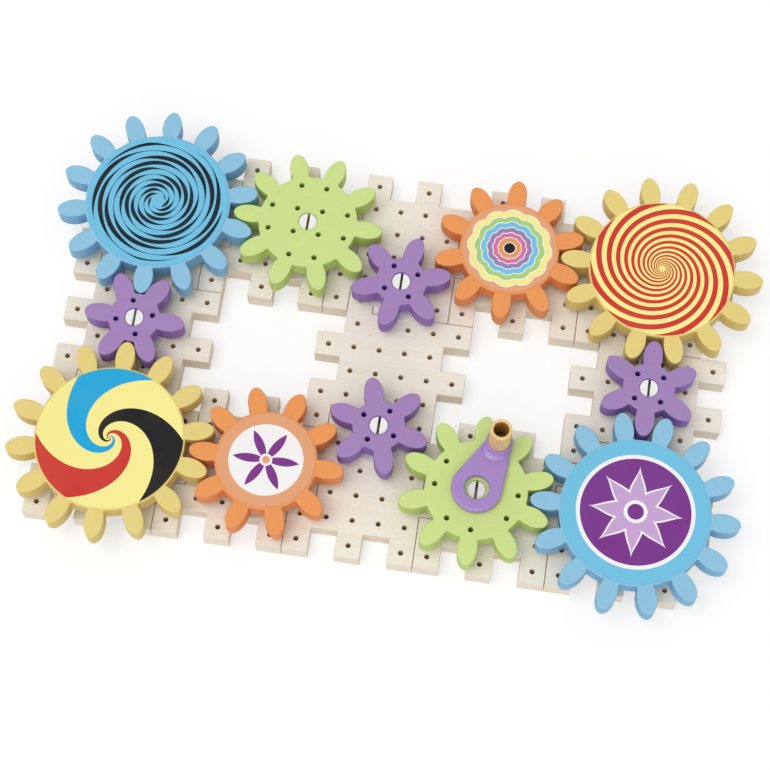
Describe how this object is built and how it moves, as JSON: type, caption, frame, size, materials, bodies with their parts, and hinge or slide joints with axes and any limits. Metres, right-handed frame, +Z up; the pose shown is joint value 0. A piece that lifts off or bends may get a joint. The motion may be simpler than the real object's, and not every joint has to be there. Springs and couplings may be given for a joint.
{
  "type": "wooden crank gear toy",
  "caption": "Interlocking wooden peg boards carrying a closed ring of petal-toothed gears that a hand crank turns together.",
  "frame": {"origin": "middle of the boards' underside, in the middle of the middle board", "axes": "+X along the long side to the right, +Y to the back, +Z up; the crank is at the front right"},
  "size_m": [0.4174, 0.2688, 0.0608],
  "materials": {
    "pale_wood": "smooth pale wood, whitewashed, satin",
    "green_wood": "painted light green, satin",
    "blue_wood": "painted sky blue, satin",
    "purple_wood": "painted purple, satin",
    "orange_wood": "painted orange, satin",
    "yellow_wood": "painted straw yellow, satin",
    "white_moulding": "moulded off-white, satin",
    "printed_disc": "thin printed disc, satin",
    "purple_arm": "moulded purple, half gloss",
    "bare_wood": "bare varnished wood",
    "steel": "plain screw steel"
  },
  "bodies": {
    "root": {"peg_board_back_1": "pale_wood", "peg_board_back_2": "pale_wood", "peg_board_back_3": "pale_wood", "peg_board_back_4": "pale_wood", "peg_board_back_5": "pale_wood", "peg_board_middle_1": "pale_wood", "peg_board_middle_3": "pale_wood", "peg_board_middle_5": "pale_wood", "peg_board_front_1": "pale_wood", "peg_board_front_2": "pale_wood", "peg_board_front_3": "pale_wood", "peg_board_front_4": "pale_wood", "peg_board_front_5": "pale_wood", "axle_base_green_crank": "white_moulding", "axle_base_blue_front_right": "white_moulding", "axle_base_purple_right": "white_moulding", "axle_base_yellow_back_right": "white_moulding", "axle_base_orange_back": "white_moulding", "axle_base_purple_back": "white_moulding", "axle_base_green_back": "white_moulding", "axle_base_blue_back_left": "white_moulding", "axle_base_purple_left": "white_moulding", "axle_base_yellow_front_left": "white_moulding", "axle_base_orange_front": "white_moulding", "axle_base_purple_front": "white_moulding"},
    "green_crank_gear": {"gear_green_crank": "green_wood", "crank_arm": "purple_arm", "knob_screw": "steel"},
    "blue_front_right_gear": {"gear_blue_front_right": "blue_wood", "disc_blue_front_right": "printed_disc"},
    "purple_right_gear": {"gear_purple_right": "purple_wood"},
    "yellow_back_right_gear": {"gear_yellow_back_right": "yellow_wood", "disc_yellow_back_right": "printed_disc"},
    "orange_back_gear": {"gear_orange_back": "orange_wood", "disc_orange_back": "printed_disc"},
    "purple_back_gear": {"gear_purple_back": "purple_wood"},
    "green_back_gear": {"gear_green_back": "green_wood"},
    "blue_back_left_gear": {"gear_blue_back_left": "blue_wood", "disc_blue_back_left": "printed_disc"},
    "purple_left_gear": {"gear_purple_left": "purple_wood"},
    "yellow_front_left_gear": {"gear_yellow_front_left": "yellow_wood", "disc_yellow_front_left": "printed_disc"},
    "orange_front_gear": {"gear_orange_front": "orange_wood", "disc_orange_front": "printed_disc"},
    "purple_front_gear": {"gear_purple_front": "purple_wood"},
    "knob": {"crank_knob": "bare_wood"}
  },
  "joints": [
    {"name": "green_crank_spin", "type": "hinge", "parent": "root", "child": "green_crank_gear", "pos_m": [0.06, -0.075, 0.0248], "axis": [0, 0, 1], "continuous": true},
    {"name": "blue_front_right_spin", "type": "hinge", "parent": "root", "child": "blue_front_right_gear", "pos_m": [0.15, -0.075, 0.0248], "axis": [0, 0, 1], "continuous": true},
    {"name": "purple_right_spin", "type": "hinge", "parent": "root", "child": "purple_right_gear", "pos_m": [0.15, 0, 0.0248], "axis": [0, 0, 1], "continuous": true},
    {"name": "yellow_back_right_spin", "type": "hinge", "parent": "root", "child": "yellow_back_right_gear", "pos_m": [0.15, 0.075, 0.0248], "axis": [0, 0, 1], "continuous": true},
    {"name": "orange_back_spin", "type": "hinge", "parent": "root", "child": "orange_back_gear", "pos_m": [0.06, 0.075, 0.0248], "axis": [0, 0, 1], "continuous": true},
    {"name": "purple_back_spin", "type": "hinge", "parent": "root", "child": "purple_back_gear", "pos_m": [0, 0.045, 0.0248], "axis": [0, 0, 1], "continuous": true},
    {"name": "green_back_spin", "type": "hinge", "parent": "root", "child": "green_back_gear", "pos_m": [-0.06, 0.075, 0.0248], "axis": [0, 0, 1], "continuous": true},
    {"name": "blue_back_left_spin", "type": "hinge", "parent": "root", "child": "blue_back_left_gear", "pos_m": [-0.15, 0.075, 0.0248], "axis": [0, 0, 1], "continuous": true},
    {"name": "purple_left_spin", "type": "hinge", "parent": "root", "child": "purple_left_gear", "pos_m": [-0.15, 0, 0.0248], "axis": [0, 0, 1], "continuous": true},
    {"name": "yellow_front_left_spin", "type": "hinge", "parent": "root", "child": "yellow_front_left_gear", "pos_m": [-0.15, -0.075, 0.0248], "axis": [0, 0, 1], "continuous": true},
    {"name": "orange_front_spin", "type": "hinge", "parent": "root", "child": "orange_front_gear", "pos_m": [-0.06, -0.075, 0.0248], "axis": [0, 0, 1], "continuous": true},
    {"name": "purple_front_spin", "type": "hinge", "parent": "root", "child": "purple_front_gear", "pos_m": [0, -0.045, 0.0248], "axis": [0, 0, 1], "continuous": true},
    {"name": "knob_spin", "type": "hinge", "parent": "green_crank_gear", "child": "knob", "pos_m": [0.06916, -0.04801, 0.043], "axis": [0, 0, 1], "continuous": true}
  ],
  "couplings": [
    {"joint": "blue_front_right_spin", "follows": "green_crank_spin", "ratio": -0.71429},
    {"joint": "purple_right_spin", "follows": "green_crank_spin", "ratio": 1.6667},
    {"joint": "yellow_back_right_spin", "follows": "green_crank_spin", "ratio": -0.71429},
    {"joint": "orange_back_spin", "follows": "green_crank_spin", "ratio": 1},
    {"joint": "purple_back_spin", "follows": "green_crank_spin", "ratio": -1.6667},
    {"joint": "green_back_spin", "follows": "green_crank_spin", "ratio": 1},
    {"joint": "blue_back_left_spin", "follows": "green_crank_spin", "ratio": -0.71429},
    {"joint": "purple_left_spin", "follows": "green_crank_spin", "ratio": 1.6667},
    {"joint": "yellow_front_left_spin", "follows": "green_crank_spin", "ratio": -0.71429},
    {"joint": "orange_front_spin", "follows": "green_crank_spin", "ratio": 1},
    {"joint": "purple_front_spin", "follows": "green_crank_spin", "ratio": -1.6667}
  ]
}
